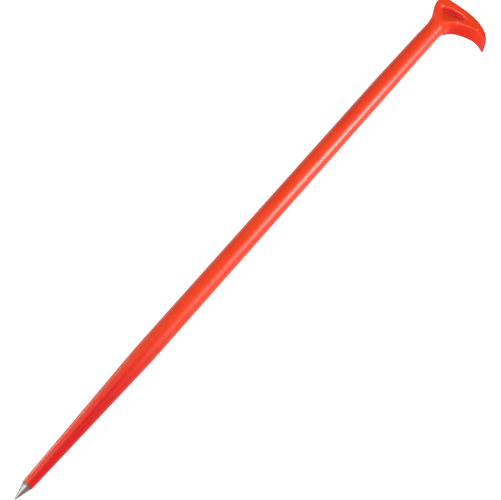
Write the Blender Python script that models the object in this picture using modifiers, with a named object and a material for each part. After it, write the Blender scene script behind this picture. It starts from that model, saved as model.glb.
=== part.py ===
"""Rolling-head pry bar, 508 mm long: one steel forging with a ground point, under a coat of enamel.

The bar lies on its side. +X runs along the shank from the point to the rolling head, the claw hooks
towards -Y, the heel stands out towards +Y, and the head's flat sides face +Z and -Z. Every outline is
written in the bar's own frame: x from the very point, y and z from the shank's centre line.
"""
from math import cos, pi, sin

import bmesh
import bpy
from mathutils import Vector

MM = 0.001

# Driving dimensions of the bar.
BAR_LENGTH = 508.0 * MM
SHANK_RADIUS = 7.68 * MM
HEAD_WIDTH = 16.5 * MM

# The ground point and the long taper behind it.
POINT_RADIUS = 0.45 * MM
POINT_LENGTH = 12.8 * MM
POINT_BASE_RADIUS = 4.15 * MM
TAPER_END = 129.5 * MM
TAPER_BLEND = 9.0 * MM

# Where the turned shank ends and the forged neck takes over.
NECK_START = 414.0 * MM
SHANK_OVERLAP = 3.0 * MM
NECK_SKIN = 0.02 * MM

# The enamel, and the clearance kept between it and the steel.
COAT = 0.30 * MM
CLEARANCE = 0.30 * MM
BARE_STEEL_STEP = 0.12 * MM

# The web left between the head's two side pockets.
WEB = 6.5 * MM
POCKET_DRAFT = 1.0 * MM
POCKET_FLOOR_RADIUS = 1.0 * MM

# Rounding of the head's rim: full over the heel and crown, fading to the sharp toe.
RIM_RADIUS = 1.8 * MM
TOE_RIM_RADIUS = 0.30 * MM
RIM_FADE_START = -16.0 * MM

# How finely the curves are cut.
SHANK_SIDES = 32
SPAN_STEPS = 3
RIM_STEPS = 2

# Head outline in millimetres, x back from the crown and y from the centre line, one run at a time.
STEM_CORNERS = [(-98, -26), (-98, 26)]  # past the start of the neck
HEEL_RUN = [(-44.7, 26), (-35.7, 13.5), (-29.7, 8.6), (-25.3, 6.5), (-21.7, 5.9), (-18.3, 7.2),
            (-14.3, 9.4), (-10.5, 10.8)]
ROLLING_RUN = [(-10.5, 10.8), (-6.9, 11.2), (-3.2, 10.0), (-0.85, 7.0), (-0.1, 3.8), (0, 1.0), (-0.12, -2.4),
               (-0.4, -8.0), (-1.2, -15.9), (-2.8, -23.2), (-5.5, -30.0), (-9.2, -35.8), (-15.3, -41.4)]
THROAT_RUN = [(-16.4, -40.9), (-13.4, -35.2), (-12.1, -28), (-13.5, -20.7), (-16.9, -13.8),
              (-21.6, -9.6), (-28.1, -9.2), (-34.7, -13), (-44.7, -26)]

# Side pocket outline, on the same origin, running round once.
POCKET_LOOP = [(-10.0, 3.8), (-7.9, 0.8), (-7.0, -3.0), (-6.8, -9.0), (-7.5, -14.4), (-10.1, -16.0),
               (-13.1, -14.2), (-15.7, -10.0), (-17.9, -6.0), (-18.7, -2.6), (-14.8, 0.9)]

# The neck thins on its heel side, then squares up and grows past the head, whose outline cuts it back:
# x back from the crown, half height in z, lowest and highest y, and squareness (2 is an ellipse).
NECK_SECTIONS = [
    ((NECK_START - BAR_LENGTH) / MM, 7.68, -7.68, 7.68, 2.0),
    (-62.0, 7.42, -7.66, 7.25, 2.0),
    (-40.7, 7.25, -7.68, 6.95, 2.0),
    (-32.7, 7.20, -7.70, 6.65, 2.0),
    (-27.7, 7.30, -7.80, 6.45, 2.1),
    (-24.7, 7.55, -8.05, 6.60, 2.3),
    (-21.7, 8.00, -10.50, 8.60, 3.0),
    (-19.1, 8.35, -22.00, 13.50, 4.5),
    (-16.9, 8.80, -48.00, 17.00, 8.0),
    (4.0, 9.60, -48.00, 17.00, 8.0),
]


def clear_scene():
    """Remove every object that the file opens with."""
    for item in list(bpy.data.objects):
        bpy.data.objects.remove(item, do_unlink=True)


def new_collection(name):
    """Make a collection of the scene."""
    collection = bpy.data.collections.new(name)
    bpy.context.scene.collection.children.link(collection)
    return collection


def new_material(name, colour, roughness, metallic):
    """Make a Principled material."""
    material = bpy.data.materials.new(name)
    material.use_nodes = True
    shader = material.node_tree.nodes["Principled BSDF"]
    shader.inputs["Base Color"].default_value = (*colour, 1.0)
    shader.inputs["Roughness"].default_value = roughness
    shader.inputs["Metallic"].default_value = metallic
    return material


def smooth_run(points, steps=SPAN_STEPS, closed=False):
    """Centripetal spline through the points, without the last one unless it is a loop."""
    knots = [Vector(point) for point in points]
    if closed:
        knots = [knots[-1], *knots, knots[0], knots[1]]
    else:
        knots = [2 * knots[0] - knots[1], *knots, 2 * knots[-1] - knots[-2]]
    run = []
    for p0, p1, p2, p3 in zip(knots, knots[1:], knots[2:], knots[3:]):
        t1 = (p1 - p0).length ** 0.5
        t2 = t1 + (p2 - p1).length ** 0.5
        t3 = t2 + (p3 - p2).length ** 0.5
        for step in range(steps):
            t = t1 + (t2 - t1) * step / steps
            a1 = p0.lerp(p1, t / t1)
            a2 = p1.lerp(p2, (t - t1) / (t2 - t1))
            a3 = p2.lerp(p3, (t - t2) / (t3 - t2))
            b1 = a1.lerp(a2, t / t2)
            b2 = a2.lerp(a3, (t - t1) / (t3 - t1))
            run.append(b1.lerp(b2, (t - t1) / (t2 - t1)))
    return run


def from_crown(points):
    """Turn millimetres back from the crown into metres in the bar's frame."""
    return [Vector((BAR_LENGTH + point.x * MM, point.y * MM)) for point in points]


def head_outline():
    """Side view of the head, anticlockwise from the toe, with an open-ended stem over the neck."""
    throat = smooth_run(THROAT_RUN) + [Vector(THROAT_RUN[-1])]
    crown = smooth_run(HEEL_RUN) + smooth_run(ROLLING_RUN) + [Vector(ROLLING_RUN[-1])]
    stem = [Vector(corner) for corner in STEM_CORNERS]
    return from_crown((throat + stem + crown)[::-1])


def pocket_outline():
    """Side view of a pocket's mouth, anticlockwise."""
    return from_crown(smooth_run(POCKET_LOOP, closed=True)[::-1])


def shift_inwards(outline, distances):
    """Move each corner of an anticlockwise outline inwards, by its own distance from both sides."""
    moved = []
    count = len(outline)
    for index, corner in enumerate(outline):
        before = (corner - outline[index - 1]).normalized()
        after = (outline[(index + 1) % count] - corner).normalized()
        normal_before = Vector((-before.y, before.x))
        normal_after = Vector((-after.y, after.x))
        mitre = (normal_before + normal_after).normalized()
        moved.append(corner + mitre * distances[index] / mitre.dot(normal_after))
    return moved


def loft(name, rings, collection, parent):
    """Skin a stack of rings that have the same number of points, and close both ends."""
    mesh = bpy.data.meshes.new(name)
    skin = bmesh.new()
    loops = [[skin.verts.new(point) for point in ring] for ring in rings]
    for low, high in zip(loops, loops[1:]):
        for index in range(len(low)):
            following = (index + 1) % len(low)
            skin.faces.new((low[index], low[following], high[following], high[index]))
    skin.faces.new(reversed(loops[0]))
    skin.faces.new(loops[-1])
    bmesh.ops.recalc_face_normals(skin, faces=skin.faces)
    skin.to_mesh(mesh)
    skin.free()
    return place(name, mesh, collection, parent)


def place(name, mesh, collection, parent):
    """Make an object of a mesh, on the bar's axis."""
    item = bpy.data.objects.new(name, mesh)
    item.parent = parent
    collection.objects.link(item)
    return item


def rim_radius(y, inset):
    """Rounding of the rim at a height across the head, for a body set in from the outside."""
    toe_y = ROLLING_RUN[-1][1] * MM
    fade = min(max((RIM_FADE_START - y) / (RIM_FADE_START - toe_y), 0.0), 1.0)
    outside = RIM_RADIUS + (TOE_RIM_RADIUS - RIM_RADIUS) * fade
    return max(outside - inset, 0.05 * MM)


def head_plate(name, inset, collection, parent):
    """The head's side view as a plate with a rounded rim."""
    outline = head_outline()
    radii = [rim_radius(point.y, inset) for point in outline]
    half_width = HEAD_WIDTH / 2 - inset
    rings = []
    for side in (-1, 1):
        turns = [0.5 * pi * step / RIM_STEPS for step in range(RIM_STEPS + 1)]
        for turn in (turns[::-1] if side < 0 else turns):
            corners = shift_inwards(outline, [inset + r * (1 - cos(turn)) for r in radii])
            heights = [side * (half_width - r * (1 - sin(turn))) for r in radii]
            rings.append([(corner.x, corner.y, z) for corner, z in zip(corners, heights)])
    return loft(name, rings, collection, parent)


def neck_block(name, inset, collection, parent):
    """Sections that go from the round neck to more than the head's full size."""
    rings = []
    for back, half_height, low, high, squareness in NECK_SECTIONS:
        middle = (low + high) / 2 * MM
        half_depth = (high - low) / 2 * MM - inset
        ring = []
        for step in range(SHANK_SIDES):
            turn = 2 * pi * step / SHANK_SIDES
            across = abs(cos(turn)) ** (2 / squareness) * (1 if cos(turn) >= 0 else -1)
            upwards = abs(sin(turn)) ** (2 / squareness) * (1 if sin(turn) >= 0 else -1)
            y = middle + half_depth * across
            z = (half_height * MM - inset) * upwards
            ring.append((BAR_LENGTH + back * MM, y, z))
        rings.append(ring)
    return loft(name, rings, collection, parent)


def pocket_cutter(name, inset, side, collection, parent):
    """A drafted pocket with a rounded floor, opening past one side of the head."""
    outline = pocket_outline()
    floor = WEB / 2 - inset
    levels = [
        (HEAD_WIDTH / 2 + 1 * MM, -0.2 * MM),
        (floor + POCKET_FLOOR_RADIUS, POCKET_DRAFT - 0.3 * MM),
        (floor + 0.3 * POCKET_FLOOR_RADIUS, POCKET_DRAFT),
        (floor, POCKET_DRAFT + POCKET_FLOOR_RADIUS),
    ]
    rings = []
    for height, shrink in levels:
        corners = shift_inwards(outline, [shrink - inset] * len(outline))
        rings.append([(corner.x, corner.y, side * height) for corner in corners])
    return loft(name, rings, collection, parent)


def taper_radius(x):
    """Outside radius of the painted taper and the shank, with a soft shoulder between them."""
    slope = (SHANK_RADIUS - POINT_BASE_RADIUS) / (TAPER_END - POINT_LENGTH)
    if x <= TAPER_END - TAPER_BLEND:
        return POINT_BASE_RADIUS + slope * (x - POINT_LENGTH)
    if x >= TAPER_END + TAPER_BLEND:
        return SHANK_RADIUS
    left = TAPER_END + TAPER_BLEND - x
    return SHANK_RADIUS - slope * left * left / (4 * TAPER_BLEND)


def shank_profile(start, inset):
    """Stations (x, radius) of the painted shank, from a start to just inside the neck."""
    soft = [TAPER_END + TAPER_BLEND * step / 2 for step in (-2, -1, 0, 1, 2)]
    stations = [start, *soft, NECK_START - SHANK_OVERLAP]
    profile = [(x, taper_radius(x) - inset) for x in stations]
    profile.append((NECK_START + SHANK_OVERLAP, SHANK_RADIUS - 2 * NECK_SKIN - inset))
    return profile


def turned(name, profile, collection, parent):
    """Turn a profile of (x, radius) stations about the bar's axis."""
    points = [(0.0, profile[-1][0])]
    points += [(radius, x) for x, radius in reversed(profile)]
    points.append((0.0, profile[0][0]))
    mesh = bpy.data.meshes.new(name)
    mesh.from_pydata([(radius, 0, x) for radius, x in points], [(i, i + 1) for i in range(len(points) - 1)], [])
    item = place(name, mesh, collection, parent)
    item.rotation_euler = (0, pi / 2, 0)
    screw = item.modifiers.new("turn", "SCREW")
    screw.axis = "Z"
    screw.steps = SHANK_SIDES
    screw.render_steps = SHANK_SIDES
    screw.use_merge_vertices = True
    screw.merge_threshold = 0.00001
    return item


def boolean(item, operation, other):
    """Combine one object with another."""
    modifier = item.modifiers.new(f"{operation.lower()}_{other.name}", "BOOLEAN")
    modifier.operation = operation
    modifier.solver = "EXACT"
    modifier.object = other


def as_cutter(item):
    """Keep a helper out of the picture."""
    item.hide_render = True
    item.display_type = "WIRE"
    return item


def forging(name, profile, inset, collection, cutters, parent):
    """The bar's solid, set in everywhere from its outside by a distance."""
    item = head_plate(name, inset, collection, parent)
    boolean(item, "INTERSECT", as_cutter(neck_block(f"{name}_neck_block", inset, cutters, parent)))
    for side, word in ((1, "top"), (-1, "bottom")):
        pocket = pocket_cutter(f"{name}_{word}_pocket", inset, side, cutters, parent)
        boolean(item, "DIFFERENCE", as_cutter(pocket))
    boolean(item, "UNION", as_cutter(turned(f"{name}_shank", profile, cutters, parent)))
    return item


def build():
    """Make the bar's two pieces."""
    clear_scene()
    parts = new_collection("rolling_head_pry_bar")
    cutters = new_collection("cutters")
    bar_axis = bpy.data.objects.new("bar_axis", None)
    parts.objects.link(bar_axis)
    across = [point.y for point in from_crown([Vector(p) for p in ROLLING_RUN])]
    bar_axis.location = (-BAR_LENGTH / 2, -(max(across) + min(across)) / 2, HEAD_WIDTH / 2)

    coat = forging("paint_coat", shank_profile(POINT_LENGTH, 0), 0, parts, cutters, bar_axis)
    cavity_start = POINT_LENGTH - CLEARANCE
    cavity_profile = shank_profile(cavity_start, COAT)
    cavity = forging("coat_cavity", cavity_profile, COAT, cutters, cutters, bar_axis)
    boolean(coat, "DIFFERENCE", as_cutter(cavity))

    steel_inset = COAT + CLEARANCE
    shoulder = POINT_LENGTH - CLEARANCE
    steel_profile = shank_profile(shoulder, steel_inset)
    bare_point = [(0.0, POINT_RADIUS), (shoulder, POINT_BASE_RADIUS - BARE_STEEL_STEP)]
    steel = forging("forged_bar", bare_point + steel_profile, steel_inset, parts, cutters, bar_axis)

    coat.data.materials.append(new_material("red_enamel", (0.78, 0.045, 0.02), 0.25, 0.0))
    steel.data.materials.append(new_material("bare_steel", (0.42, 0.40, 0.37), 0.35, 1.0))


build()
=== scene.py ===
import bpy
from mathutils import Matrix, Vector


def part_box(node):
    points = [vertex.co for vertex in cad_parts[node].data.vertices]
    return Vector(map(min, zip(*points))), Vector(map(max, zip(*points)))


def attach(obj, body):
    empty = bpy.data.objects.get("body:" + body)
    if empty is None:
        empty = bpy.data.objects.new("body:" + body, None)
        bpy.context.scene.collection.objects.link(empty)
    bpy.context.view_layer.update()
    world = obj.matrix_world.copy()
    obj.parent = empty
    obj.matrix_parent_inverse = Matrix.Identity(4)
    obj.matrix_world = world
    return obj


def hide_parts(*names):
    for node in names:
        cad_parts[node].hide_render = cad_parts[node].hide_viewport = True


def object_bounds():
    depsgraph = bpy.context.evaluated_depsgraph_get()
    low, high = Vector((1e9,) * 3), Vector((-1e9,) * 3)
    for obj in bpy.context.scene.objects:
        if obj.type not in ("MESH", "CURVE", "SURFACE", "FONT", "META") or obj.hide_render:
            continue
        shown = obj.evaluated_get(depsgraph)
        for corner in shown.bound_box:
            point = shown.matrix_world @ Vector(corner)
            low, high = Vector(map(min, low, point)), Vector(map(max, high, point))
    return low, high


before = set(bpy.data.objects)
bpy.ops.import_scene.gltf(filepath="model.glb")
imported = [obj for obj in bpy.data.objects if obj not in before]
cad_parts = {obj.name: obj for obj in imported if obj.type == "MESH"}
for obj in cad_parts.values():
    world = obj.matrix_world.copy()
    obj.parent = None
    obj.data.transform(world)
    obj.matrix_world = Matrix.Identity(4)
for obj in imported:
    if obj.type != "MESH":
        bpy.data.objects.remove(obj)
CAD_BOX = [list(corner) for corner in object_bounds()]

# Visual model of the rolling-head pry bar: a skin of enamel over a steel core that ends in a ground point.
# Outlines are in the bar's own frame: x from the very point, y and z from the shank's centre line.
from math import atan2, cos, pi, radians, sin

import bmesh
import bpy
import numpy as np
from mathutils import Vector, noise

MM = 0.001

# ---------------------------------------------------------------- outline of the head
# In millimetres: x back from the crown, and y from the centre line.
STEM_CORNERS = [(-98, -26), (-98, 26)]
HEEL_RUN = [(-44.7, 26), (-35.7, 13.5), (-29.7, 8.6), (-25.3, 6.5), (-21.7, 5.9), (-18.3, 7.2),
            (-14.3, 9.4), (-10.5, 10.8)]
ROLLING_RUN = [(-10.5, 10.8), (-6.9, 11.2), (-3.2, 10.0), (-0.85, 7.0), (-0.1, 3.8), (0, 1.0), (-0.12, -2.4),
               (-0.4, -8.0), (-1.2, -15.9), (-2.8, -23.2), (-5.5, -30.0), (-9.2, -35.8), (-15.3, -41.4)]
THROAT_RUN = [(-16.4, -40.9), (-13.4, -35.2), (-12.1, -28), (-13.5, -20.7), (-16.9, -13.8),
              (-21.6, -9.6), (-28.1, -9.2), (-34.7, -13), (-44.7, -26)]
TOE_Y = ROLLING_RUN[-1][1] * MM
ROLLING_FACE = ROLLING_RUN[2:]       # from the crown down to the toe
THROAT_WALL = THROAT_RUN[:6][::-1]   # from the neck down to the toe

# Rounding of the head's edges, against the height y, on the rolling side and on the throat's side.
ROLLING_ROUND = [(-41.4, 0.35), (-16.0, 1.8)]
THROAT_ROUND = [(-41.4, 0.3), (-26.0, 0.6), (-20.0, 1.2), (-16.0, 2.4), (-14.0, 3.2), (-9.5, 4.5)]

# ---------------------------------------------------------------- the bar's frame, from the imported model
SKIN_LOW, SKIN_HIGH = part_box("paint_coat")
POINT_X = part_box("forged_bar")[0].x
BAR_LENGTH = SKIN_HIGH.x - POINT_X
HEAD_WIDTH = SKIN_HIGH.z - SKIN_LOW.z
BAR_ORIGIN = Vector((POINT_X, SKIN_LOW.y - TOE_Y, (SKIN_LOW.z + SKIN_HIGH.z) / 2))

# ---------------------------------------------------------------- the point, the taper and the shank
SHANK_RADIUS = 7.68 * MM
POINT_RADIUS = 0.45 * MM
POINT_LENGTH = 12.8 * MM
POINT_BASE_RADIUS = 4.15 * MM
TAPER_END = 129.5 * MM
TAPER_BLEND = 9.0 * MM
NECK_START = 414.0 * MM

# Thickness of the enamel, the hairline between it and the steel, and how far the bare cone starts under it.
ENAMEL = 0.10 * MM
STEEL_INSET = 0.12 * MM
CONE_UNDERLAP = 0.3 * MM

# The enamel's edge at the point, in millimetres: how far it leans, and its waves as (count, height, seed).
EDGE_LEAN = 0.45
EDGE_WAVES = [(1.7, 0.16, 4.2), (6.0, 0.05, 9.1)]

# ---------------------------------------------------------------- relief of the head's two flat sides
# In millimetres. A deep pocket lies under the rim, and a shallow trough runs down the claw.
RIM_LINE = [(-13.2, 6.5), (-9.5, 3.9), (-7.8, 1.2), (-6.9, -2.0), (-6.7, -5.8), (-6.7, -9.7), (-7.0, -13.4),
            (-7.6, -17.0), (-8.3, -20.3), (-9.5, -24.0), (-11.1, -28.0)]
LOW_LINE = [(-20.6, 0.0), (-19.7, -4.0), (-17.9, -7.4), (-15.7, -10.3), (-13.6, -14.5), (-12.3, -19.0),
            (-11.9, -24.0)]
FLANK_LINE = (-11.2, 4.7, 0.824, 0.566)  # a point at the top of the pocket's heel wall, and the way it runs

# Each wall: how rounded its top edge is, how far it runs out for each millimetre of depth, and its fillet.
POCKET_DEPTH = 5.0
POCKET_END = -16.2
POCKET_RIM_WALL = (0.9, 0.32)
POCKET_FLANK_WALL = (0.9, 0.4, 1.0)
POCKET_SHELF = (2.2, 2.4, 1.5)
POCKET_FOOT = (1.4, 0.6, 1.2)
POCKET_FLOOR_FILLET = 1.2
TROUGH_DEPTH = 0.8
TROUGH_START = -6.0
TROUGH_END = -26.0
TROUGH_RIM_WALL = (1.0, 0.6)
TROUGH_SHELF = (1.0, 1.6, 0.6)
TROUGH_FOOT = (4.0, 1 / 0.12, 0.4)
TROUGH_HEAD = (3.0, 1 / 0.3, 0.4)
TROUGH_FLOOR_FILLET = 0.4

# Rounding of the toe's corners, and the slight crown of the flat sides: its height, middle and reach.
TOE_CORNER = 2.4
SIDE_CROWN = 0.2
CROWN_MIDDLE = -10
CROWN_REACH = 30

# x back from the crown, half height in z, lowest and highest y, and squareness (2 is an ellipse).
NECK_SECTIONS = [
    ((NECK_START - BAR_LENGTH) / MM, 7.68, -7.68, 7.68, 2.0),
    (-62.0, 7.42, -7.66, 7.25, 2.0),
    (-40.7, 7.25, -7.68, 6.95, 2.0),
    (-32.7, 7.20, -7.70, 6.65, 2.0),
    (-27.7, 7.30, -7.80, 6.45, 2.1),
    (-24.7, 7.55, -8.05, 6.60, 2.3),
    (-21.7, 8.00, -10.50, 8.60, 3.0),
    (-19.1, 8.35, -22.00, 13.50, 4.5),
    (-16.9, 8.80, -48.00, 17.00, 8.0),
    (4.0, 9.60, -48.00, 17.00, 8.0),
]

# ---------------------------------------------------------------- how finely it is all cut
SPAN_STEPS = 10
RIM_STEPS = 7
NECK_SIDES = 128
NECK_STEPS = 6
VOXEL = 0.30 * MM
SEAM = -38.0 * MM  # where the sculpted head meets the drawn-out shank, back from the crown
SEAM_BLEND = 8.0 * MM
SEAM_WELD = 0.05 * MM
SHANK_STEP = 2.4 * MM
EDGE_BLEND_START = 0.9  # share of the shank's rings after which they take up the enamel's uneven edge
CONE_STEPS = 24
LAST_CONE_SHARE = 0.02
BLUNT_SHARE = 0.04  # share of the cone's length over which the very point is rounded off
TRIM = 0.001 * MM
ENAMEL_SHARP = radians(60)
STEEL_SHARP = radians(40)

# Smoothing of the sculpted head: steps in and out that keep its size, then steps that let the hollows flow.
SMOOTH_PASSES = 14
SMOOTH_STEPS = (0.55, -0.57)
FORGE_PASSES = 10
FORGE_STEP = 0.5
TOE_GUARD = (3 * MM, 6 * MM, 0.05)  # height over the toe where the flow starts, its reach and its least

# ---------------------------------------------------------------- where the enamel differs, in millimetres
# Names of the shares that every vertex of the head holds for the enamel.
POCKET_SHADE = "hollow"
POLISH = "polish"
THROAT = "throat"
DULL = "dull"
PAINTED_HIGHLIGHT = "painted_highlight"
ROLLING_EDGE_SHADE = "rolling_edge_shade"

POCKET_SHADE_DEPTH = 1.2          # pocket depth at which the painted shade has its full colour
POCKET_SHADE_REACH = (6.0, 4.0)   # how far from the rim it ends, and how softly
POLISH_MIDDLE = -0.3      # middle of the polished line, from the rim's inner edge
POLISH_WIDTH = 1.0
POLISH_START = (0.5, 6)   # height at which the line starts, and how softly
THROAT_DEPTH = (3.0, 1.5)
THROAT_WIDTH = (7.9, 0.9)
THROAT_TOP = (-8.5, 3)
ROLLING_EDGE_SHADE_REACH = (2.6, 1.6)
DULL_NECK = (-26.5, -5.5, 4.0, 3.0, 0.9)  # x, y, reach along x, reach along y, and strength
# Painted highlights, as pale spots on the enamel.
HIGHLIGHT_SPOTS = [(-9.0, 4.6, 0.9, 1.0), (-15.0, -13.6, 1.0, 0.7)]  # x, y, radius and strength

# ---------------------------------------------------------------- looks of the enamel
RED_DARK = (0.230, 0.0122, 0.0022, 1)
RED_LIGHT = (0.252, 0.0160, 0.0032, 1)
RED_STOPS = (0.30, 0.72)
# Painted shade: crimson on the taper's low side near the point.
TAPER_SHADE_RED = (0.178, 0.0012, 0.0014, 1)
# Painted shade: a deeper red in the pocket under the rim.
POCKET_SHADE_RED = (0.245, 0.0030, 0.0036, 1)
# Painted light on the throat's wall: a brighter, purer red than the rest, in place of how the wall is lit.
THROAT_PAINTED_LIGHT_RED = (0.302, 0.0090, 0.0010, 1)
# Painted shade: darker red along the rolling face's rounded edge.
ROLLING_EDGE_SHADE_RED = (0.165, 0.0098, 0.0060, 1)
# Painted highlight: the pale red of the highlight spots.
HIGHLIGHT_RED = (0.270, 0.0610, 0.0430, 1)
TAPER_SHADE_ALONG = (185 * MM, 70 * MM)     # from the very point: where the painted shade starts and where it is full
TAPER_SHADE_ACROSS = (2.6 * MM, -2.0 * MM)  # from the centre line
POCKET_MASK_SHARE = 0.9
ENAMEL_ROUGHNESS = (0.36, 0.42)
POCKET_ROUGHNESS = 0.20
POLISHED_ROUGHNESS = -0.26
ENAMEL_SPECULAR = 0.16
DULL_SPECULAR = -0.12
ENAMEL_IOR = 1.45
COAT_WEIGHT = 0.05
COAT_ROUGHNESS = 0.16

# ---------------------------------------------------------------- looks of the ground steel
STEEL_DARK = (0.118, 0.109, 0.100, 1)
STEEL_LIGHT = (0.180, 0.172, 0.161, 1)
STEEL_STOPS = (0.28, 0.75)
# Dark steel colour for the band just in front of the enamel's edge and for the painted dark reflection down
# the cone; then where along the bar the band runs, and its share.
DARK_BAND_AND_REFLECTION = (0.045, 0.032, 0.026, 1)
DARK_BAND_ALONG = (10.4 * MM, 12.4 * MM)
DARK_BAND_SHARE = 0.9
DARK_REFLECTION_TURN = -0.63           # where the painted dark reflection runs down the cone, as a turn about the bar
DARK_REFLECTION_REACH = (0.10, 0.55)
DARK_REFLECTION_SHARE = 0.7
RING_SCALE = (5200.0, 260.0, 260.0)
STEEL_ROUGHNESS = (0.42, 0.58)
STEEL_METALLIC = 0.95

# ---------------------------------------------------------------- floor, light and camera
FLOOR_SIZE = 14.0
FLOOR_CELLS = 8
FLOOR_GREY = (0.215, 0.225)
FLOOR_GLOW = 0.80
WHITE = (1, 1, 1, 1)

# A dome that is bright behind and above the camera, dim in front of it, and dim low down past the claw.
SKY_BACK = 1.50
SKY_FRONT = 0.30
SKY_SIDE = 0.32
SKY_TURN = (0.10, -0.35)        # x of the direction at which it goes from front to back
SKY_SIDE_TURN = (-0.62, -0.05)  # y of the direction at which the dim side ends

# Softboxes: name, place, target, size, power in watts, and shape.
SOFTBOXES = [
    ("strip_softbox", (0.66, -1.04, 0.58), (0.10, 0, 0), (0.28, 0.74), 48.0, "ELLIPSE"),
    ("strip_spill", (0.50, -0.80, 0.98), (0.10, 0, 0), (0.40, 0.55), 4.0, "ELLIPSE"),
    ("front_softbox", (-0.64, 0.50, 1.50), (0.23, 0, 0), (0.28, 0.28), 42.0, "RECTANGLE"),
    ("claw_softbox", (-1.25, -0.38, 0.42), (0.24, 0, 0), (0.60, 0.40), 26.0, "RECTANGLE"),
    ("edge_softbox", (-0.25, 1.20, 0.22), (-0.20, 0, 0), (0.36, 0.25), 11.0, "RECTANGLE"),
]

CAMERA_TILT = radians(25.0)      # off straight down
CAMERA_HEADING = radians(38.71)  # the way the camera looks over the floor, from +X towards +Y
CAMERA_DISTANCE = 0.8567
CAMERA_AIM = BAR_ORIGIN + Vector((0.23933, -0.00791, 0.00015))
CAMERA_LENS = 84.94
CAMERA_SENSOR = 36.0
CAMERA_CLIP = 0.01


# ---------------------------------------------------------------- curves and outlines
def smooth_run(points):
    """Centripetal spline through the points, without the last one."""
    knots = [Vector(point) for point in points]
    knots = [2 * knots[0] - knots[1], *knots, 2 * knots[-1] - knots[-2]]
    run = []
    for p0, p1, p2, p3 in zip(knots, knots[1:], knots[2:], knots[3:]):
        t1 = (p1 - p0).length ** 0.5
        t2 = t1 + (p2 - p1).length ** 0.5
        t3 = t2 + (p3 - p2).length ** 0.5
        for step in range(SPAN_STEPS):
            t = t1 + (t2 - t1) * step / SPAN_STEPS
            a1 = p0.lerp(p1, t / t1)
            a2 = p1.lerp(p2, (t - t1) / (t2 - t1))
            a3 = p2.lerp(p3, (t - t2) / (t3 - t2))
            b1 = a1.lerp(a2, t / t2)
            b2 = a2.lerp(a3, (t - t1) / (t3 - t1))
            run.append(b1.lerp(b2, (t - t1) / (t2 - t1)))
    return run


def from_crown(points):
    """Turn millimetres back from the crown into metres in the bar's frame."""
    return [Vector((BAR_LENGTH + point.x * MM, point.y * MM)) for point in points]


def rounding(y, law):
    """Radius of the head's edge at a height across it."""
    heights, radii = zip(*law)
    return float(np.interp(y, heights, radii)) * MM


def head_outline():
    """Side view of the head with a stem over the neck, anticlockwise, and each corner's rounding."""
    throat = smooth_run(THROAT_RUN) + [Vector(THROAT_RUN[-1])]
    crown = smooth_run(HEEL_RUN) + smooth_run(ROLLING_RUN) + [Vector(ROLLING_RUN[-1])]
    stem = [Vector(corner) for corner in STEM_CORNERS]
    radii = [rounding(point.y, THROAT_ROUND) for point in throat]
    radii += [rounding(point.y, ROLLING_ROUND) for point in stem + crown]
    return from_crown((throat + stem + crown)[::-1]), radii[::-1]


def shift_inwards(outline, distances):
    """Move each corner of an anticlockwise outline inwards, by its own distance from both sides."""
    moved = []
    count = len(outline)
    for index, corner in enumerate(outline):
        before = (corner - outline[index - 1]).normalized()
        after = (outline[(index + 1) % count] - corner).normalized()
        normal_before = Vector((-before.y, before.x))
        normal_after = Vector((-after.y, after.x))
        mitre = (normal_before + normal_after).normalized()
        moved.append(corner + mitre * distances[index] / mitre.dot(normal_after))
    return moved


def line_at(y, line):
    """x of a line of points at a height y."""
    points = np.array(line)[::-1]
    return np.interp(y, points[:, 1], points[:, 0])


# ---------------------------------------------------------------- meshes and modifiers
def new_object(name, data):
    """Link a mesh, a light or a camera into the scene."""
    item = bpy.data.objects.new(name, data)
    bpy.context.scene.collection.objects.link(item)
    return item


def bridge(skin, low, high):
    """Join two rings of vertices with faces."""
    for index in range(len(low)):
        following = (index + 1) % len(low)
        skin.faces.new((low[index], low[following], high[following], high[index]))


def loft(name, rings):
    """Skin a stack of rings that have the same number of points, and close both ends."""
    mesh = bpy.data.meshes.new(name)
    skin = bmesh.new()
    loops = [[skin.verts.new(point) for point in ring] for ring in rings]
    for low, high in zip(loops, loops[1:]):
        bridge(skin, low, high)
    skin.faces.new(reversed(loops[0]))
    skin.faces.new(loops[-1])
    bmesh.ops.recalc_face_normals(skin, faces=skin.faces)
    skin.to_mesh(mesh)
    skin.free()
    return new_object(name, mesh)


def evaluated(item):
    """The mesh of an object after its modifiers."""
    graph = bpy.context.evaluated_depsgraph_get()
    return bpy.data.meshes.new_from_object(item.evaluated_get(graph))


def keep_common_part(item, other):
    """Cut an object down to what it has in common with another."""
    modifier = item.modifiers.new("common_part", "BOOLEAN")
    modifier.operation = "INTERSECT"
    modifier.solver = "EXACT"
    modifier.object = other


def even_out(item):
    """The object's surface as one even, closed mesh."""
    remesh = item.modifiers.new("even_out", "REMESH")
    remesh.mode = "VOXEL"
    remesh.voxel_size = VOXEL
    mesh = evaluated(item)
    item.modifiers.clear()
    return mesh


# ---------------------------------------------------------------- the rough shape of the head
def head_plate():
    """The head's side view as a plate with rounded edges."""
    outline, radii = head_outline()
    rings = []
    for side in (-1, 1):
        turns = [0.5 * pi * step / RIM_STEPS for step in range(RIM_STEPS + 1)]
        for turn in (turns[::-1] if side < 0 else turns):
            corners = shift_inwards(outline, [r * (1 - cos(turn)) for r in radii])
            heights = [side * (HEAD_WIDTH / 2 - r * (1 - sin(turn))) for r in radii]
            rings.append([(corner.x, corner.y, z) for corner, z in zip(corners, heights)])
    return loft("head_plate", rings)


def neck_section(back):
    """Half height, lowest y, highest y and squareness of the neck, at a distance back from the crown."""
    stations = np.array(NECK_SECTIONS)
    return [float(np.interp(back / MM, stations[:, 0], stations[:, column])) for column in range(1, 5)]


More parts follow.
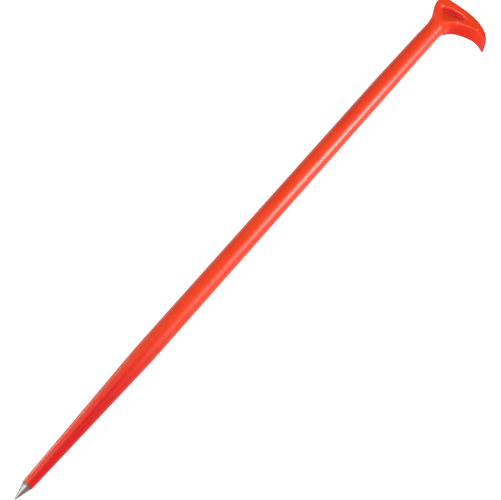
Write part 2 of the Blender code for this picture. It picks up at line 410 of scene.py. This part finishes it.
def section_point(back, turn):
    """Point of the neck's or shank's skin at a turn about the bar."""
    half_height, low, high, squareness = neck_section(back)
    across = abs(cos(turn)) ** (2 / squareness) * (1 if cos(turn) >= 0 else -1)
    upwards = abs(sin(turn)) ** (2 / squareness) * (1 if sin(turn) >= 0 else -1)
    y = (low + high) / 2 + (high - low) / 2 * across
    return Vector((BAR_LENGTH + back, y * MM, half_height * upwards * MM))


def neck_block():
    """Sections that go from the round neck to more than the head's full size."""
    stations = [station[0] * MM for station in NECK_SECTIONS]
    backs = []
    for start, end in zip(stations, stations[1:]):
        backs += [start + (end - start) * step / NECK_STEPS for step in range(NECK_STEPS)]
    backs.append(stations[-1])
    turns = [2 * pi * step / NECK_SIDES for step in range(NECK_SIDES)]
    return loft("neck_block", [[section_point(back, turn) for turn in turns] for back in backs])


# ---------------------------------------------------------------- relief of the flat sides
def ramp(distance, softness):
    """Zero outside, the distance inside, with a rounded start."""
    soft = (distance + softness) ** 2 / (4 * softness)
    return np.where(distance < -softness, 0, np.where(distance > softness, distance, soft))


def soft_min(first, second, softness):
    """The smaller of the two, with a fillet where they meet."""
    near = np.maximum(softness - np.abs(first - second), 0) / softness
    return np.minimum(first, second) - near * near * softness / 4


def wall_depth(distance, wall):
    """Depth down a wall at a distance in from its top edge."""
    return ramp(distance, wall[0]) / wall[1]


def add_wall(depth, distance, wall):
    """Limit a depth by one more wall, with that wall's fillet."""
    return soft_min(depth, wall_depth(distance, wall), wall[2])


def add_floor(depth, floor, fillet):
    """Limit a depth by a flat floor."""
    return np.maximum(soft_min(depth, floor + 0 * depth, fillet), 0)


def pocket_depth(x, y):
    """Depth of the pocket: steep under the rim, the heel and the claw, and shelving towards the throat."""
    top_x, top_y, run_x, run_y = FLANK_LINE
    depth = wall_depth(line_at(y, RIM_LINE) - x, POCKET_RIM_WALL)
    depth = add_wall(depth, (x - top_x) * run_y - (y - top_y) * run_x, POCKET_FLANK_WALL)
    depth = add_wall(depth, x - line_at(y, LOW_LINE), POCKET_SHELF)
    depth = add_wall(depth, y - POCKET_END, POCKET_FOOT)
    return add_floor(depth, POCKET_DEPTH, POCKET_FLOOR_FILLET)


def trough_depth(x, y):
    """Depth of the shallow trough down the claw."""
    depth = wall_depth(line_at(y, RIM_LINE) - x, TROUGH_RIM_WALL)
    depth = add_wall(depth, x - line_at(y, LOW_LINE), TROUGH_SHELF)
    depth = add_wall(depth, y - TROUGH_END, TROUGH_FOOT)
    depth = add_wall(depth, TROUGH_START - y, TROUGH_HEAD)
    return add_floor(depth, TROUGH_DEPTH, TROUGH_FLOOR_FILLET)


def side_relief(x, y):
    """How far the head's flat sides are sunk, at places given in millimetres from the crown."""
    corner = np.clip(TOE_CORNER - (y - TOE_Y / MM), 0, TOE_CORNER)
    corner = TOE_CORNER - np.sqrt(TOE_CORNER ** 2 - corner ** 2)
    crowning = SIDE_CROWN * ((y - CROWN_MIDDLE) / CROWN_REACH) ** 2
    return np.maximum(pocket_depth(x, y), trough_depth(x, y)) + np.maximum(corner, crowning)


def head_mesh():
    """The forged head as one even mesh, with the neck reaching past the seam."""
    block = neck_block()
    plate = head_plate()
    keep_common_part(plate, block)
    plate.data = even_out(plate)
    places = np.zeros(len(plate.data.vertices) * 3)
    plate.data.vertices.foreach_get("co", places)
    places = places.reshape(-1, 3)
    x = (places[:, 0] - BAR_LENGTH) / MM
    y = places[:, 1] / MM
    limit = HEAD_WIDTH / 2 - side_relief(x, y) * MM
    places[:, 2] = np.clip(places[:, 2], -limit, limit)
    plate.data.vertices.foreach_set("co", places.ravel())
    mesh = even_out(plate)
    for item in (plate, block):
        bpy.data.objects.remove(item, do_unlink=True)
    return mesh


# ---------------------------------------------------------------- shares for the enamel
def fade(distance, reach):
    """Share that grows from 0 to 1 over a reach."""
    return np.clip(distance / reach, 0, 1)


def pocket_shade_share(x, y):
    """Share of painted shade in the pocket under the rim, full near the rim; the enamel also uses it to make
    the pocket more matte.
    """
    limit, softness = POCKET_SHADE_REACH
    under_rim = line_at(y, RIM_LINE) - x
    return fade(pocket_depth(x, y), POCKET_SHADE_DEPTH) * fade(limit - under_rim, softness)


def rim_polish(x, y):
    """How close a place is to the inner edge of the rim, which is rubbed smooth."""
    start, softness = POLISH_START
    distance = (x - POLISH_MIDDLE - line_at(y, RIM_LINE)) / POLISH_WIDTH
    return np.exp(-distance ** 2) * fade(start - y, softness)


def throat_share(x, y, z):
    """Whether a place is on the wall inside the throat."""
    depth, depth_softness = THROAT_DEPTH
    width, width_softness = THROAT_WIDTH
    top, top_softness = THROAT_TOP
    wall = fade(depth - (x - line_at(y, THROAT_WALL)), depth_softness)
    return wall * fade(width - np.abs(z), width_softness) * fade(top - y, top_softness)


def neck_share(x, y):
    """How close a place is to the fillet where the neck runs into the claw, which is less glossy."""
    middle_x, middle_y, reach_x, reach_y, strength = DULL_NECK
    return strength * np.exp(-((x - middle_x) / reach_x) ** 2 - ((y - middle_y) / reach_y) ** 2)


def highlight_spot_share(x, y):
    """Share of painted highlight: a pale spot on the rim's corner by the heel, and one on the claw's ridge.
    """
    share = np.zeros_like(x)
    for spot_x, spot_y, radius, strength in HIGHLIGHT_SPOTS:
        away = ((x - spot_x) ** 2 + (y - spot_y) ** 2) / radius ** 2
        share = np.maximum(share, strength * np.exp(-away))
    return share


def rolling_edge_shade_share(x, y):
    """Whether a place is on the rolling face or close to its edge, where shade is painted darker."""
    reach, softness = ROLLING_EDGE_SHADE_REACH
    return fade(reach - (line_at(y, ROLLING_FACE) - x), softness)


def mark(skin, name, values):
    """Store a share on every vertex."""
    layer = skin.verts.layers.float.new(name)
    for vertex, value in zip(skin.verts, values):
        vertex[layer] = value


def mark_head(skin, places):
    """Store all the shares that the enamel uses."""
    x = (places[:, 0] - BAR_LENGTH) / MM
    y = places[:, 1] / MM
    z = places[:, 2] / MM
    throat = throat_share(x, y, z)
    mark(skin, POCKET_SHADE, pocket_shade_share(x, y))
    mark(skin, POLISH, rim_polish(x, y))
    mark(skin, THROAT, throat)
    mark(skin, PAINTED_HIGHLIGHT, highlight_spot_share(x, y))
    mark(skin, ROLLING_EDGE_SHADE, rolling_edge_shade_share(x, y))
    mark(skin, DULL, np.maximum(throat, neck_share(x, y)))


# ---------------------------------------------------------------- the smooth head
def neighbour_mean(places, edges, counts):
    """Mean position of each vertex's neighbours."""
    total = np.zeros_like(places)
    np.add.at(total, edges[:, 0], places[edges[:, 1]])
    np.add.at(total, edges[:, 1], places[edges[:, 0]])
    return total / counts[:, None]


def smooth_head(skin):
    """Take the steps out of the sculpted head, then let the hollows flow as forged fillets."""
    skin.verts.ensure_lookup_table()
    places = np.array([vertex.co for vertex in skin.verts])
    edges = np.array([[edge.verts[0].index, edge.verts[1].index] for edge in skin.edges])
    counts = np.bincount(edges.ravel(), minlength=len(places)).astype(float)
    for _ in range(SMOOTH_PASSES):
        for step in SMOOTH_STEPS:
            places += step * (neighbour_mean(places, edges, counts) - places)
    start, reach, least = TOE_GUARD
    guard = np.clip((places[:, 1] - (TOE_Y + start)) / reach, least, 1.0)[:, None]
    for _ in range(FORGE_PASSES):
        places += FORGE_STEP * guard * (neighbour_mean(places, edges, counts) - places)
    for vertex, place in zip(skin.verts, places):
        vertex.co = place
    mark_head(skin, places)


def turn_of(point):
    """Turn about the bar at which the round neck passes through a point."""
    half_height, low, high, _ = neck_section(point.x - BAR_LENGTH)
    y = (point.y / MM - (low + high) / 2) / ((high - low) / 2)
    return atan2(point.z / MM / half_height, y)


def cut_at_seam(skin, seam_x):
    """Take off the neck behind the seam, and ease what is left into the round of the shank."""
    geometry = [*skin.verts, *skin.edges, *skin.faces]
    bmesh.ops.bisect_plane(skin, geom=geometry, plane_co=(seam_x, 0, 0), plane_no=(1, 0, 0), clear_inner=True)
    near_seam = [vertex for vertex in skin.verts if vertex.co.x < seam_x + MM]
    bmesh.ops.remove_doubles(skin, verts=near_seam, dist=SEAM_WELD)
    for vertex in skin.verts:
        weight = 1 - (vertex.co.x - seam_x) / SEAM_BLEND
        if weight > 0:
            weight = min(weight, 1) ** 2 * (3 - 2 * min(weight, 1))
            vertex.co = vertex.co.lerp(section_point(vertex.co.x - BAR_LENGTH, turn_of(vertex.co)), weight)


def keep_inside(skin):
    """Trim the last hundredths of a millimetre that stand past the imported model's box."""
    low = [value + TRIM for value in Vector(CAD_BOX[0]) - BAR_ORIGIN]
    high = [value - TRIM for value in Vector(CAD_BOX[1]) - BAR_ORIGIN]
    for vertex in skin.verts:
        vertex.co = [min(max(value, least), most) for value, least, most in zip(vertex.co, low, high)]


def seam_loop(skin):
    """The vertices of the open seam, in order round the bar."""
    edges = {edge for edge in skin.edges if edge.is_boundary}
    edge = min(edges, key=lambda item: item.index)
    first = edge.verts[0]
    loop = [first]
    vertex = edge.other_vert(first)
    while vertex is not first:
        loop.append(vertex)
        edge = next(item for item in vertex.link_edges if item in edges and item is not edge)
        vertex = edge.other_vert(vertex)
    return loop


# ---------------------------------------------------------------- the neck, the shank and the point
def point_radius(x):
    """Radius of the ground cone."""
    return POINT_RADIUS + (POINT_BASE_RADIUS - STEEL_INSET - POINT_RADIUS) * x / POINT_LENGTH


def taper_radius(x):
    """Outside radius of the enamel along the point, the taper and the shank, with a soft shoulder."""
    slope = (SHANK_RADIUS - POINT_BASE_RADIUS) / (TAPER_END - POINT_LENGTH)
    if x < POINT_LENGTH:
        return point_radius(x) + STEEL_INSET
    if x <= TAPER_END - TAPER_BLEND:
        return POINT_BASE_RADIUS + slope * (x - POINT_LENGTH)
    if x >= TAPER_END + TAPER_BLEND:
        return SHANK_RADIUS
    left = TAPER_END + TAPER_BLEND - x
    return SHANK_RADIUS - slope * left * left / (4 * TAPER_BLEND)


def shank_point(x, turn):
    """Point of the outer skin of the neck, shank or taper."""
    if x >= NECK_START:
        return section_point(x - BAR_LENGTH, turn)
    radius = taper_radius(x)
    return Vector((x, radius * cos(turn), radius * sin(turn)))


def enamel_edge(turn):
    """How far from the very point the enamel starts: a little nearer on the claw's side, and uneven."""
    shift = EDGE_LEAN * cos(turn)
    for count, height, seed in EDGE_WAVES:
        shift += height * noise.noise(Vector((cos(turn) * count, sin(turn) * count, seed)))
    return POINT_LENGTH + shift * MM


def draw_out_shank(skin, loop, turns, seam_x):
    """Carry the seam down the shank and taper, ring by ring, to the enamel's edge. Returns the last ring."""
    count = round((seam_x - POINT_LENGTH) / SHANK_STEP)
    for step in range(1, count + 1):
        share = step / count
        blend = max(0.0, (share - EDGE_BLEND_START) / (1 - EDGE_BLEND_START))
        even_x = seam_x + (POINT_LENGTH - seam_x) * share
        ring = []
        for turn in turns:
            x = even_x + (enamel_edge(turn) - POINT_LENGTH) * blend
            ring.append(skin.verts.new(shank_point(x, turn)))
        bridge(skin, loop, ring)
        loop = ring
    return loop


def outer_skin():
    """The whole outside of the bar, open at the enamel's edge. Returns it, its last ring and their turns."""
    skin = bmesh.new()
    skin.from_mesh(head_mesh())
    seam_x = BAR_LENGTH + SEAM
    smooth_head(skin)
    cut_at_seam(skin, seam_x)
    keep_inside(skin)
    loop = seam_loop(skin)
    turns = [turn_of(vertex.co) for vertex in loop]
    loop = draw_out_shank(skin, loop, turns, seam_x)
    bmesh.ops.recalc_face_normals(skin, faces=skin.faces)
    return skin, loop, turns


# ---------------------------------------------------------------- the two pieces
def finish_mesh(name, skin, sharp):
    """Turn a bmesh in the bar's frame into an object in the row's frame."""
    bmesh.ops.recalc_face_normals(skin, faces=skin.faces)
    bmesh.ops.translate(skin, verts=skin.verts, vec=BAR_ORIGIN)
    mesh = bpy.data.meshes.new(name)
    skin.to_mesh(mesh)
    skin.free()
    shade(mesh, sharp)
    return new_object(name, mesh)


def shade(mesh, sharp):
    """Smooth shading, but for edges that turn by more than an angle."""
    mesh.shade_smooth()
    mesh.set_sharp_from_angle(angle=sharp)


def build_enamel(outer):
    """The enamel as a closed shell with a lip at the point."""
    item = finish_mesh("enamel_skin", outer.copy(), ENAMEL_SHARP)
    shell = item.modifiers.new("thickness", "SOLIDIFY")
    shell.thickness = ENAMEL
    shell.offset = -1
    shell.use_even_offset = False
    item.data = evaluated(item)
    item.modifiers.clear()
    shade(item.data, ENAMEL_SHARP)
    return item


def cone_point(share, turn):
    """Point of the ground cone at a share of the way from the very point to the enamel's edge."""
    x = max(enamel_edge(turn) - CONE_UNDERLAP, 0) * share
    radius = point_radius(x)
    if share < BLUNT_SHARE:
        radius = POINT_RADIUS * share / BLUNT_SHARE
    return x, radius * cos(turn), radius * sin(turn)


def build_core(outer, loop_indices, turns):
    """The steel just under the enamel, and the bare ground cone in front of it."""
    skin = outer.copy()
    skin.verts.ensure_lookup_table()
    skin.normal_update()
    loop = [skin.verts[index] for index in loop_indices]
    for vertex, normal in [(vertex, vertex.normal.copy()) for vertex in skin.verts]:
        vertex.co -= normal * STEEL_INSET
    shares = [1 - step / CONE_STEPS for step in range(CONE_STEPS)] + [LAST_CONE_SHARE]
    for share in shares:
        ring = [skin.verts.new(cone_point(share, turn)) for turn in turns]
        bridge(skin, loop, ring)
        loop = ring
    tip = skin.verts.new((0, 0, 0))
    for index in range(len(loop)):
        skin.faces.new((loop[index], loop[(index + 1) % len(loop)], tip))
    return finish_mesh("steel_core", skin, STEEL_SHARP)


def build_bar():
    """Make the two pieces and hand them to the frame."""
    outer, loop, turns = outer_skin()
    outer.verts.index_update()
    indices = [vertex.index for vertex in loop]
    enamel = build_enamel(outer)
    core = build_core(outer, indices, turns)
    outer.free()
    pieces = (
        (enamel, enamel_material(), "paint_coat", "red_enamel"),
        (core, steel_material(), "forged_bar", "bare_steel"),
    )
    for piece, material, node, slot in pieces:
        piece.data.materials.clear()
        piece.data.materials.append(material)
        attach(piece, "root")
        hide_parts(node)


# ---------------------------------------------------------------- tools for the node trees
def node_adder(tree):
    """A function that adds a node with its settings, fixed values and links."""
    def add(kind, values=None, links=None, **settings):
        node = tree.nodes.new(kind)
        for key, value in settings.items():
            setattr(node, key, value)
        for key, value in (values or {}).items():
            node.inputs[key].default_value = value
        for key, socket in (links or {}).items():
            tree.links.new(socket, node.inputs[key])
        return node

    return add


def new_material(name):
    """A material with only its shader, a function that adds nodes, and one that feeds the shader."""
    material = bpy.data.materials.new(name)
    material.use_nodes = True
    tree = material.node_tree
    shader = tree.nodes["Principled BSDF"]

    def feed(key, value):
        if isinstance(value, bpy.types.NodeSocket):
            tree.links.new(value, shader.inputs[key])
        else:
            shader.inputs[key].default_value = value

    return material, node_adder(tree), feed


def grain(add, place, scale, detail, roughness=0.5):
    """Noise as a value."""
    values = {"Scale": scale, "Detail": detail, "Roughness": roughness}
    return add("ShaderNodeTexNoise", values, {"Vector": place}).outputs["Fac"]


def vertex_share(add, name):
    """A share stored on the vertices."""
    return add("ShaderNodeAttribute", attribute_name=name).outputs["Fac"]


def spread(add, value, limits):
    """Stretch a value from 0 to 1 over other limits."""
    values = {"To Min": limits[0], "To Max": limits[1]}
    return add("ShaderNodeMapRange", values, {"Value": value}).outputs["Result"]


def ease(add, value, limits, start=0.0, end=1.0):
    """Go smoothly from a start to an end as a value passes between two limits."""
    values = {"From Min": limits[0], "From Max": limits[1], "To Min": start, "To Max": end}
    node = add("ShaderNodeMapRange", values, {"Value": value}, interpolation_type="SMOOTHSTEP")
    return node.outputs["Result"]


def reckon(add, operation, *terms):
    """Sum, product or other operation on sockets and numbers."""
    values = {}
    links = {}
    for index, term in enumerate(terms):
        target = links if isinstance(term, bpy.types.NodeSocket) else values
        target[index] = term
    return add("ShaderNodeMath", values, links, operation=operation).outputs["Value"]


def two_tone(add, value, stops, first, second):
    """Colour that goes from one to another as a value passes between two stops."""
    node = add("ShaderNodeValToRGB", links={"Fac": value})
    for element, stop, colour in zip(node.color_ramp.elements, stops, (first, second)):
        element.position = stop
        element.color = colour
    return node.outputs["Color"]


def blend(add, share, first, second):
    """Mix a colour socket with a fixed colour by a share."""
    node = add("ShaderNodeMix", {7: second}, {0: share, 6: first}, data_type="RGBA")
    return node.outputs[2]


def bump(add, height, strength, distance, under=None):
    """Normal of a bumpy surface, over another one if there is one."""
    links = {"Height": height}
    if under:
        links["Normal"] = under
    return add("ShaderNodeBump", {"Strength": strength, "Distance": distance}, links).outputs["Normal"]


def from_point(add):
    """Place of a surface in metres in the bar's frame, and its three parts."""
    place = add("ShaderNodeTexCoord").outputs["Object"]
    moved = add("ShaderNodeVectorMath", {1: BAR_ORIGIN}, {0: place}, operation="SUBTRACT")
    parts = add("ShaderNodeSeparateXYZ", links={"Vector": moved.outputs["Vector"]}).outputs
    return place, parts


# ---------------------------------------------------------------- materials
def enamel_colour(add, place, parts, pocket_shade_and_matte):
    """Orange-red, with painted shade in crimson on the taper's low side and in the pocket under the rim,
    painted light on the throat's wall, painted shade along the rolling edge, and painted highlights on two
    spots of the head.
    """
    plain = two_tone(add, grain(add, place, 38.0, 3.0), RED_STOPS, RED_DARK, RED_LIGHT)
    # Painted shade: the enamel turns crimson on the taper's low side, near the point.
    near_point = ease(add, parts["X"], TAPER_SHADE_ALONG)
    claw_side = ease(add, parts["Y"], TAPER_SHADE_ACROSS)
    colour = blend(add, reckon(add, "MULTIPLY", near_point, claw_side), plain, TAPER_SHADE_RED)
    # Painted shade: a deeper red in the pocket under the rim.
    colour = blend(add, pocket_shade_and_matte, colour, POCKET_SHADE_RED)
    # Painted light: a brighter, purer red on the throat's wall.
    colour = blend(add, vertex_share(add, THROAT), colour, THROAT_PAINTED_LIGHT_RED)
    # Painted shade: darker red along the rolling face's rounded edge.
    colour = blend(add, vertex_share(add, ROLLING_EDGE_SHADE), colour, ROLLING_EDGE_SHADE_RED)
    # Painted highlights: pale spots on the rim's corner by the heel and on the claw's ridge.
    return blend(add, vertex_share(add, PAINTED_HIGHLIGHT), colour, HIGHLIGHT_RED)


def enamel_material():
    """Glossy orange-red enamel: slight unevenness of colour and gloss, and a faint orange peel."""
    material, add, feed = new_material("red_enamel")
    place, parts = from_point(add)
    # Share of painted shade in the pocket, which also makes the pocket more matte.
    pocket_shade_and_matte = reckon(add, "MULTIPLY", vertex_share(add, POCKET_SHADE), POCKET_MASK_SHARE)
    feed("Base Color", enamel_colour(add, place, parts, pocket_shade_and_matte))
    rough = spread(add, grain(add, place, 160.0, 2.0), ENAMEL_ROUGHNESS)
    rough = reckon(add, "MULTIPLY_ADD", pocket_shade_and_matte, POCKET_ROUGHNESS, rough)
    feed("Roughness", reckon(add, "MULTIPLY_ADD", vertex_share(add, POLISH), POLISHED_ROUGHNESS, rough))
    fine = bump(add, grain(add, place, 520.0, 1.5), 0.02, 0.04 * MM)
    feed("Normal", bump(add, grain(add, place, 95.0, 1.0), 0.02, 0.2 * MM, fine))
    dull = vertex_share(add, DULL)
    feed("Specular IOR Level", reckon(add, "MULTIPLY_ADD", dull, DULL_SPECULAR, ENAMEL_SPECULAR))
    feed("IOR", ENAMEL_IOR)
    feed("Coat Weight", COAT_WEIGHT)
    feed("Coat Roughness", COAT_ROUGHNESS)
    return material


def steel_material():
    """Ground steel: rings round the axis, a painted dark reflection down the cone, and a dark band next to
    the enamel.
    """
    material, add, feed = new_material("bare_steel")
    place, parts = from_point(add)
    stretched = add("ShaderNodeMapping", {"Scale": RING_SCALE}, {"Vector": place}).outputs["Vector"]
    rings = grain(add, stretched, 1.0, 4.0, 0.6)
    tone = two_tone(add, rings, STEEL_STOPS, STEEL_DARK, STEEL_LIGHT)
    near_enamel = ease(add, parts["X"], DARK_BAND_ALONG, 0.0, DARK_BAND_SHARE)
    # Painted reflection: a dark line down the cone at one turn about the bar.
    turn = reckon(add, "ARCTAN2", parts["Y"], parts["Z"])
    off_line = reckon(add, "ABSOLUTE", reckon(add, "SUBTRACT", turn, DARK_REFLECTION_TURN))
    dark_reflection = ease(add, off_line, DARK_REFLECTION_REACH, DARK_REFLECTION_SHARE, 0.0)
    feed("Base Color", blend(add, reckon(add, "MAXIMUM", near_enamel, dark_reflection), tone, DARK_BAND_AND_REFLECTION))
    feed("Roughness", spread(add, rings, STEEL_ROUGHNESS))
    feed("Normal", bump(add, rings, 0.35, 0.06 * MM))
    feed("Metallic", STEEL_METALLIC)
    return material


def floor_material():
    """Plain white paper, lit to a clean white."""
    material, add, feed = new_material("white_paper")
    place = add("ShaderNodeTexCoord").outputs["Object"]
    tint = spread(add, grain(add, place, 60.0, 2.0), FLOOR_GREY)
    grey = add("ShaderNodeCombineColor", links={"Red": tint, "Green": tint, "Blue": tint})
    feed("Base Color", grey.outputs["Color"])
    feed("Roughness", 0.9)
    feed("Specular IOR Level", 0.1)
    feed("Emission Color", WHITE)
    feed("Emission Strength", FLOOR_GLOW)
    return material


# ---------------------------------------------------------------- studio
def add_softbox(name, place, target, size, power, shape):
    """An area light at a place, facing a target."""
    light = bpy.data.lights.new(name, "AREA")
    light.shape = shape
    light.size, light.size_y = size
    light.energy = power
    item = new_object(name, light)
    item.location = place
    direction = Vector(target) - Vector(place)
    item.rotation_euler = direction.to_track_quat("-Z", "Y").to_euler()


def build_sky():
    """A plain studio dome."""
    world = bpy.data.worlds.new("studio")
    bpy.context.scene.world = world
    world.use_nodes = True
    tree = world.node_tree
    add = node_adder(tree)
    background = tree.nodes["Background"]
    direction = add("ShaderNodeTexCoord").outputs["Generated"]
    parts = add("ShaderNodeSeparateXYZ", links={"Vector": direction}).outputs
    back = ease(add, parts["X"], SKY_TURN, SKY_FRONT, SKY_BACK)
    side = ease(add, parts["Y"], SKY_SIDE_TURN, SKY_SIDE, 1.0)
    tree.links.new(reckon(add, "MULTIPLY", back, side), background.inputs["Strength"])
    background.inputs["Color"].default_value = WHITE


def build_stage():
    """White floor and softboxes."""
    mesh = bpy.data.meshes.new("studio_floor")
    floor = bmesh.new()
    bmesh.ops.create_grid(floor, x_segments=FLOOR_CELLS, y_segments=FLOOR_CELLS, size=FLOOR_SIZE / 2)
    floor.to_mesh(mesh)
    floor.free()
    item = new_object("studio_floor", mesh)
    item.location.z = CAD_BOX[0][2]
    mesh.materials.append(floor_material())
    for softbox in SOFTBOXES:
        add_softbox(*softbox)


def build_camera():
    """The camera, looking down on the bar from the side of its point and claw."""
    over_floor = Vector((cos(CAMERA_HEADING), sin(CAMERA_HEADING), 0))
    forward = over_floor * sin(CAMERA_TILT) + Vector((0, 0, -cos(CAMERA_TILT)))
    camera = bpy.data.cameras.new("camera")
    camera.lens = CAMERA_LENS
    camera.sensor_width = CAMERA_SENSOR
    camera.clip_start = CAMERA_CLIP
    item = new_object("camera", camera)
    item.location = CAMERA_AIM - forward * CAMERA_DISTANCE
    item.rotation_euler = forward.to_track_quat("-Z", "Y").to_euler()
    bpy.context.scene.camera = item
    bpy.context.scene.view_settings.view_transform = "Standard"


build_bar()
build_sky()
build_stage()
build_camera()
